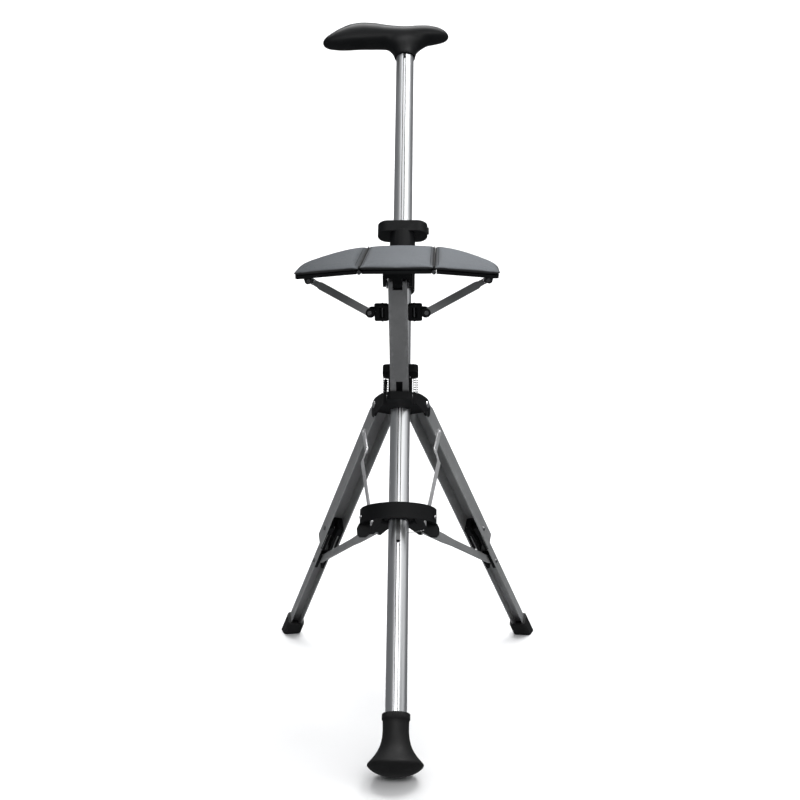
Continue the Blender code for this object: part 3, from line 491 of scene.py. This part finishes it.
# rubber tip with a ribbed band under its rim
def tip():
    prof = [(11.35, 44.0), (11.35, 56.8), (11.8, 57.3), (13.0, 57.3), (13.7, 56.8), (13.9, 56.2), (13.9, 53.4), (13.9, 50.6),
            (13.7, 49.9), (13.5, 49.4), (13.35, 45.0), (13.3, 40.0), (13.45, 36.5), (13.85, 33.0), (14.5, 29.6),
            (15.4, 26.2), (16.7, 22.8), (18.4, 19.6), (20.4, 16.5), (22.6, 13.6), (24.7, 11.2), (26.5, 9.3),
            (27.7, 7.9), (28.2, 6.8), (28.1, 5.7), (27.3, 4.3), (25.4, 2.4), (22.9, 0.6), (20.0, -0.95), (16.4, -2.4),
            (12.6, -3.35), (8.6, -3.95), (4.0, -4.2)]
    n = 156
    bm = bmesh.new()
    rings = []
    for r, z in prof:
        ring = []
        for i in range(n):
            a = 2 * math.pi * i / n
            rr = r
            if 50.0 < z < 56.5 and r > 13:
                rr = r + (0.0 if i % 3 == 0 else 0.45)
            ring.append(bm.verts.new((rr * MM * math.sin(a), -rr * MM * math.cos(a), z * MM)))
        rings.append(ring)
    for a, b in zip(rings, rings[1:]):
        for i in range(n):
            j = (i + 1) % n
            bm.faces.new((a[i], a[j], b[j], b[i]))
    bm.faces.new(rings[0])
    bm.faces.new(rings[-1][::-1])
    bmesh.ops.recalc_face_normals(bm, faces=bm.faces)
    bm.transform(STICK)
    me = bpy.data.meshes.new("foot_tip_skin")
    bm.to_mesh(me)
    bm.free()
    me.shade_smooth()
    me.set_sharp_from_angle(angle=math.radians(50))
    return add_piece("foot_tip_skin", me, M_RUBBER, "foot_tip")


tip()


# ---- pads: foam under leather, swollen by cloth pressure ------------------------------
def cushion(node_name, local, low, high, cap, frames=20):
    """The pad of this node: starts smaller, swells off its flat underside."""
    inv = local.inverted()
    bm = bmesh.new()
    bm.from_mesh(NODES[node_name].data)
    bmesh.ops.remove_doubles(bm, verts=bm.verts, dist=2e-6)
    bm.transform(inv)
    cx = [v.co.x for v in bm.verts]
    cy = [v.co.y for v in bm.verts]
    mx, my = (min(cx) + max(cx)) / 2, (min(cy) + max(cy)) / 2
    fx, fy = 1 - 0.0016 / (max(cx) - min(cx)), 1 - 0.0016 / (max(cy) - min(cy))
    for v in bm.verts:
        v.co.x = mx + (v.co.x - mx) * fx
        v.co.y = my + (v.co.y - my) * fy
        if v.co.z > (low + high) / 2:
            v.co.z -= 0.0009
    me = bpy.data.meshes.new(node_name + "_foam")
    bm.to_mesh(me)
    bm.free()
    ob = bpy.data.objects.new(node_name + "_foam", me)
    ROOT.objects.link(ob)
    m = ob.modifiers.new("voxels", "REMESH")
    m.mode, m.voxel_size = "VOXEL", 0.0016
    s = ob.modifiers.new("soften", "SMOOTH")
    s.factor, s.iterations = 0.5, 8
    me2 = applied(ob, node_name + "_foam2")
    bpy.data.objects.remove(ob)
    ob = bpy.data.objects.new(node_name + "_foam2", me2)
    ROOT.objects.link(ob)
    rest = [v.co.copy() for v in me2.vertices]
    g = ob.vertex_groups.new(name="held")
    g.add([i for i, c in enumerate(rest) if c.z < low + 0.0012], 1.0, "REPLACE")
    c = ob.modifiers.new("swell", "CLOTH")
    st = c.settings
    st.effector_weights.gravity = 0.0
    st.use_pressure = True
    st.uniform_pressure_force = 4.0
    st.vertex_group_mass = "held"
    st.tension_stiffness = st.compression_stiffness = 22.0
    st.bending_stiffness = 1.2
    st.quality = 4
    c.collision_settings.use_self_collision = False
    c.point_cache.frame_start, c.point_cache.frame_end = 1, frames
    for f in range(1, frames + 1):
        SCENE.frame_set(f)
    moved = applied(ob, node_name + "_swollen")
    pos = [v.co.copy() for v in moved.vertices]
    SCENE.frame_set(1)
    bpy.data.meshes.remove(moved)
    bpy.data.objects.remove(ob)
    # how far each point may move, and the crown of the foam under the cover
    for i, (a, b) in enumerate(zip(rest, pos)):
        d = b - a
        if d.length > cap:
            d *= cap / d.length
        p = a + d
        p.z = max(p.z, low)
        me2.vertices[i].co = p
    return me2


def rolled(me, low, high, fit, turn):
    """Fits the pad to its width, rolls its top over at the rims and crowns the middle. turn: rim widths and depths
    (front, rear, inner, outer) in mm, inner being the rim at smaller abs x."""
    vs = me.vertices
    x0, x1 = min(v.co.x for v in vs), max(v.co.x for v in vs)
    for v in vs:
        v.co.x = fit[0] + (v.co.x - x0) / (x1 - x0) * (fit[1] - fit[0])
    x0, x1 = fit
    y0, y1 = min(v.co.y for v in vs), max(v.co.y for v in vs)
    nx, ny = 24, 30
    front, rear = [y1] * nx, [y0] * nx
    left, right = [x1] * ny, [x0] * ny

    def cell(c, lo, hi, n):
        return min(n - 1, max(0, int((c - lo) / (hi - lo) * n)))
    for v in vs:
        i, j = cell(v.co.x, x0, x1, nx), cell(v.co.y, y0, y1, ny)
        front[i], rear[i] = min(front[i], v.co.y), max(rear[i], v.co.y)
        left[j], right[j] = min(left[j], v.co.x), max(right[j], v.co.x)

    def smooth(tab, c, lo, hi, n):
        f = min(n - 1.0, max(0.0, (c - lo) / (hi - lo) * n - 0.5))
        i = min(n - 2, int(f))
        return tab[i] + (tab[i + 1] - tab[i]) * (f - i)
    for v in vs:
        k = (v.co.z - low) / (high - low)
        if k < 0.3:
            continue
        x, y = v.co.x, v.co.y
        d = (y - smooth(front, x, x0, x1, nx), smooth(rear, x, x0, x1, nx) - y,
             x - smooth(left, y, y0, y1, ny), smooth(right, y, y0, y1, ny) - x)
        drop = 0.0
        for dist, (w, h) in zip(d, turn):
            f = max(0.0, 1.0 - max(0.0, dist) / (w * MM))
            drop += h * MM * f * f
        u, w = (x - x0) / (x1 - x0) * 2 - 1, (y - y0) / (y1 - y0) * 2 - 1
        rise = 0.0009 * max(0.0, 1 - u ** 4) * max(0.0, 1 - w ** 4)
        v.co.z += min(1.0, (k - 0.3) / 0.5) * (rise - min(drop, 0.0042))


def finish_pad(me, local, name, node_name, box):
    tmp = bpy.data.objects.new("pad_tmp", me)
    ROOT.objects.link(tmp)
    g = tmp.modifiers.new("even", "SMOOTH")
    g.factor, g.iterations = 0.5, 6
    s = tmp.modifiers.new("fine", "SUBSURF")
    s.levels = s.render_levels = 1
    out = applied(tmp, name)
    bpy.data.objects.remove(tmp)
    # smoothing draws the foam in: back to the size of the panel
    for axis, (lo, hi) in enumerate(box):
        cs = [v.co[axis] for v in out.vertices]
        a, b = min(cs), max(cs)
        for v in out.vertices:
            v.co[axis] = lo + (v.co[axis] - a) / (b - a) * (hi - lo)
    out.update()
    sides = [p.index for p in out.polygons if p.normal.z < 0.3]
    # painted shade on the turned-over rims: the further a point's normal turns from straight up, the darker the
    # leather there
    painted_rim_shade = out.attributes.new("roll", "FLOAT", "POINT")
    for v in out.vertices:
        painted_rim_shade.data[v.index].value = min(1.0, max(0.0, (0.965 - v.normal.z) / 0.22))
    out.transform(local)
    out.shade_smooth()
    ob = add_piece(name, out, M_PAD, node_name)
    out.materials.append(M_BAND)
    for i in sides:
        out.polygons[i].material_index = 1
    return ob


def panel(node_name, local, low, high, name, fit, turn):
    me = cushion(node_name, local, low, high, 0.0021)
    rolled(me, low, high, fit, turn)
    return finish_pad(me, local, name, node_name, (fit, reach(node_name, local, 1), (low, high + 0.0016)))


def reach(node_name, local, axis=0):
    cs = [(local.inverted() @ v.co)[axis] for v in NODES[node_name].data.vertices]
    return min(cs), max(cs)


FRONT_ROLL, REAR_ROLL = (4.0, 0.9), (2.5, 0.3)
centre = panel("centre_pad", SEAT, 0.0184, 0.0238, "centre_cushion", (-0.0382, 0.0382),
               (FRONT_ROLL, REAR_ROLL, (5.0, 1.1), (5.0, 1.1)))
wing_r = panel("wing_pad_right", WING_R, 0.0024, 0.0078, "wing_cushion_right", (0.00035, reach("wing_pad_right", WING_R)[1]),
               (FRONT_ROLL, REAR_ROLL, (7.0, 1.5), (6.0, 1.5)))
wing_l = panel("wing_pad_left", WING_L, 0.0024, 0.0078, "wing_cushion_left", (reach("wing_pad_left", WING_L)[0], -0.00035),
               (FRONT_ROLL, REAR_ROLL, (6.0, 1.5), (10.0, 1.9)))


def stitches(ob, local, path, body, name, step=3.4, length=2.3, r=0.00028):
    """A row of sewn stitches laid on the pad along a path in the pad's plane (mm)."""
    inv = local.inverted()
    me = ob.data
    tree = BVHTree.FromPolygons([inv @ v.co for v in me.vertices], [list(p.vertices) for p in me.polygons])

    def at(x, y):
        hit = tree.ray_cast(Vector((x * MM, y * MM, 0.2)), Vector((0, 0, -1)))
        return hit[0]
    cu = bpy.data.curves.new(name, "CURVE")
    cu.dimensions = "3D"
    cu.bevel_depth = r
    cu.bevel_resolution = 1
    cu.use_fill_caps = True
    seg = [(Vector(a), Vector(b)) for a, b in zip(path, path[1:])]
    total = sum((b - a).length for a, b in seg)
    n = int(total / step)

    def along(s):
        for a, b in seg:
            if s <= (b - a).length:
                return a + (b - a) * (s / (b - a).length)
            s -= (b - a).length
        return seg[-1][1]
    for i in range(n):
        s0 = i * step + 0.4
        pts = []
        for k in range(5):
            f = k / 4
            p = along(min(total, s0 + length * f))
            h = at(p.x, p.y)
            if h is None:
                break
            h.z += 0.00018 - 0.0006 * (2 * f - 1) ** 4
            pts.append(h)
        if len(pts) < 5:
            continue
        sp = cu.splines.new("POLY")
        sp.points.add(4)
        for q, h in zip(sp.points, pts):
            q.co = (*(local @ h), 1)
    c = bpy.data.objects.new(name, cu)
    ROOT.objects.link(c)
    cu.materials.append(M_THREAD)
    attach(c, body)
    return c


# dark gussets closing the two seams between the panels
bar("gusset_right", SEAT, (37.9, -32.0, 16.6), (39.1, 151.0, 22.4), 0.4, M_BAND, "seat")
bar("gusset_left", SEAT, (-39.1, -32.0, 16.6), (-37.9, 151.0, 22.4), 0.4, M_BAND, "seat")

Y0, Y1 = 133.0 - 163.0, 133.0 + 14.0
stitches(centre, SEAT, [(-34.6, Y0), (-34.6, Y1)], "seat", "seam_centre_left")
stitches(centre, SEAT, [(34.6, Y0), (34.6, Y1)], "seat", "seam_centre_right")
W0, W1 = 101.0 - 160.0, 101.0 + 10.0
stitches(wing_r, WING_R, [(4.0, W0), (4.0, W1)], "wing_right", "seam_wing_right")
stitches(wing_l, WING_L, [(-4.0, W0), (-4.0, W1)], "wing_left", "seam_wing_left")

# ---- hard parts -----------------------------------------------------------------------
BEVELS = {"hub_housing": 0.9, "spring_block": 0.8, "collar_pull": 1.2, "release_button": 0.7, "slider_ring": 0.7,
          "seat_base": 0.5, "seat_arm": 0.6, "slide_strip": 0.2}
for n in sorted(NODES):
    if n in ("pole_tube", "handle_grip", "foot_tip") or SLOT[n] == "pad" or n.startswith("spring_r") or n.startswith("spring_l"):
        continue
    if n.startswith("leg_boot"):
        w = 2.0
    elif n.startswith("strut_clip"):
        w = 0.9
    elif n.startswith("wing_base"):
        w = 0.6
    elif n.startswith(("leg_", "link_bar", "strut_", "tie_")) and "pin" not in n and "rivet" not in n and "knuckle" not in n:
        w = 0.35
    else:
        w = 0.25
    if n.startswith(("wing_pin", "apex_pin", "strut_knuckle", "clip_pin")):
        mat = M_DARK
    elif n.startswith("leg_rivet"):
        mat = M_RIVET
    elif n == "slide_strip":
        mat = M_GREY
    elif n in ("strut_right", "strut_left"):
        mat = M_STRUT
    elif n.startswith("tie_strip"):
        mat = M_STRIP
    else:
        mat = None
    skin = hard(n, BEVELS.get(n, w), 3, mat=mat)
    if n in ("strut_right", "strut_left"):
        # black eye at the lower end
        eye = ARM @ Vector((0.0295 if n == "strut_right" else -0.0295, -0.002, 0.100))
        skin.data.materials.append(M_BLACK)
        skin.data.materials.append(M_RIVET)
        axis = max(skin.data.polygons, key=lambda f: f.area).normal.copy()

        def off_axis(p):
            return (p - eye - axis * (p - eye).dot(axis)).length
        for f in skin.data.polygons:
            if (f.center - eye).length < 0.0068:
                f.material_index = 2 if max(off_axis(skin.data.vertices[i].co) for i in f.vertices) < 0.0027 else 1
for n in ("spring_right", "spring_left"):
    tmp = bpy.data.objects.new("coil_tmp", NODES[n].data.copy())
    ROOT.objects.link(tmp)
    weld = tmp.modifiers.new("weld", "WELD")
    weld.merge_threshold = 0.000005
    sub = tmp.modifiers.new("round", "SUBSURF")
    sub.levels = sub.render_levels = 2
    out = applied(tmp, n + "_skin")
    bpy.data.objects.remove(tmp)
    out.shade_smooth()
    coil = add_piece(n + "_skin", out, M_SPRING_STEEL_AND_GROOVE_SHADE, n)
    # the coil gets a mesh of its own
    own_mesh(coil)


# turned post inside the left spring
def post():
    bm = bmesh.new()
    n, rings = 24, []
    for r, z in ((1.2, 406.0), (1.9, 406.8), (1.9, 427.4), (1.5, 428.6), (0.7, 429.4)):
        rings.append([bm.verts.new(((-16.9 + r * math.sin(2 * math.pi * i / n)) * MM,
                                    (-2.0 + r * math.cos(2 * math.pi * i / n)) * MM, z * MM)) for i in range(n)])
    for a, b in zip(rings, rings[1:]):
        for i in range(n):
            bm.faces.new((a[i], a[(i + 1) % n], b[(i + 1) % n], b[i]))
    bm.faces.new(rings[0])
    bm.faces.new(rings[-1])
    bmesh.ops.recalc_face_normals(bm, faces=bm.faces)
    bm.transform(STICK)
    me = bpy.data.meshes.new("spring_post_left")
    bm.to_mesh(me)
    bm.free()
    me.shade_smooth()
    me.set_sharp_from_angle(angle=math.radians(35))
    add_piece("spring_post_left", me, M_BLACK, None, "stick")


post()
# guide ribs between the tube and the springs
bar("spring_rib_right", STICK, (11.3, -4.0, 404.0), (13.2, 0.5, 429.4), 0.5, M_BLACK, "stick")
bar("spring_rib_left", STICK, (-13.2, -4.0, 404.0), (-11.3, 0.5, 429.4), 0.5, M_BLACK, "stick")


# thin wire between the slider's core and its right arm
def wire():
    cu = bpy.data.curves.new("slider_wire", "CURVE")
    cu.dimensions = "3D"
    cu.bevel_depth = 0.00034
    cu.bevel_resolution = 3
    cu.use_fill_caps = True
    sp = cu.splines.new("POLY")
    pts = [(9.5, -9.5, -14.8), (14.0, -9.2, -14.4), (19.0, -8.4, -13.5), (24.0, -6.8, -11.9), (27.5, -4.5, -9.8)]
    sp.points.add(len(pts) - 1)
    for q, p in zip(sp.points, pts):
        q.co = (*(SLIDER @ (Vector(p) * MM)), 1)
    ob = bpy.data.objects.new("slider_wire", cu)
    ROOT.objects.link(ob)
    cu.materials.append(M_RIVET)
    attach(ob, "slider")


wire()


# ---- studio -----------------------------------------------------------------------------
def studio():
    m, t, b = new_material("pale_paper")
    cloud = noise(t, coords(t), 1.5)
    link(t, two_tone(t, cloud, (0.86, 0.865, 0.87), (0.90, 0.90, 0.905)), b.inputs["Base Color"])
    b.inputs["Roughness"].default_value = 0.9
    b.inputs["Specular IOR Level"].default_value = 0.1
    bm = bmesh.new()
    prof = [(-4.0, 0.0), (1.6, 0.0)] + [(1.6 + 1.2 * math.sin(math.radians(a)), 1.2 - 1.2 * math.cos(math.radians(a)))
                                        for a in range(6, 91, 6)] + [(2.8, 2.4)]
    rows = [[bm.verts.new((x, y, z - 0.0004)) for x in (-(3.0 if y < 1 else 1.7), 3.0 if y < 1 else 1.7)] for y, z in prof]
    for a, c in zip(rows, rows[1:]):
        bm.faces.new((a[0], a[1], c[1], c[0]))
    me = bpy.data.meshes.new("backdrop")
    bm.to_mesh(me)
    bm.free()
    me.shade_smooth()
    ob = bpy.data.objects.new("backdrop", me)
    ROOT.objects.link(ob)
    me.materials.append(m)
    ob.visible_glossy = False

    def area(name, loc, aim, size, size_y, power, colour=(1, 1, 1)):
        d = bpy.data.lights.new(name, "AREA")
        d.shape, d.size, d.size_y, d.energy, d.color = "RECTANGLE", size, size_y, power, colour
        o = bpy.data.objects.new(name, d)
        o.location = loc
        o.rotation_euler = (Vector(aim) - Vector(loc)).to_track_quat("-Z", "Y").to_euler()
        ROOT.objects.link(o)
    area("top_key", (0.25, 0.70, 2.5), (0, 0.15, 0.0), 2.2, 1.3, 60.0)
    area("front_panel", (0.92, -0.95, 2.0), (0, 0, 0.5), 2.2, 1.3, 8.4)
    area("upper_fill", (-0.5, -0.4, 2.1), (0, 0.2, 0.8), 1.0, 0.7, 2.0)
    area("right_panel", (1.9, -0.1, 1.45), (0, 0, 0.5), 1.6, 2.2, 6.4)
    area("back_wash", (0.0, 1.2, 2.6), (0, 2.6, 0.8), 2.6, 0.8, 52.0)
    area("floor_wash", (0.0, -2.6, 2.3), (0, -0.9, 0.0), 3.2, 1.0, 42.0)
    w = bpy.data.worlds.new("studio")
    SCENE.world = w
    w.use_nodes = True
    bg = w.node_tree.nodes["Background"]
    bg.inputs[0].default_value = (0.94, 0.97, 1.0, 1)
    bg.inputs[1].default_value = 0.16


studio()
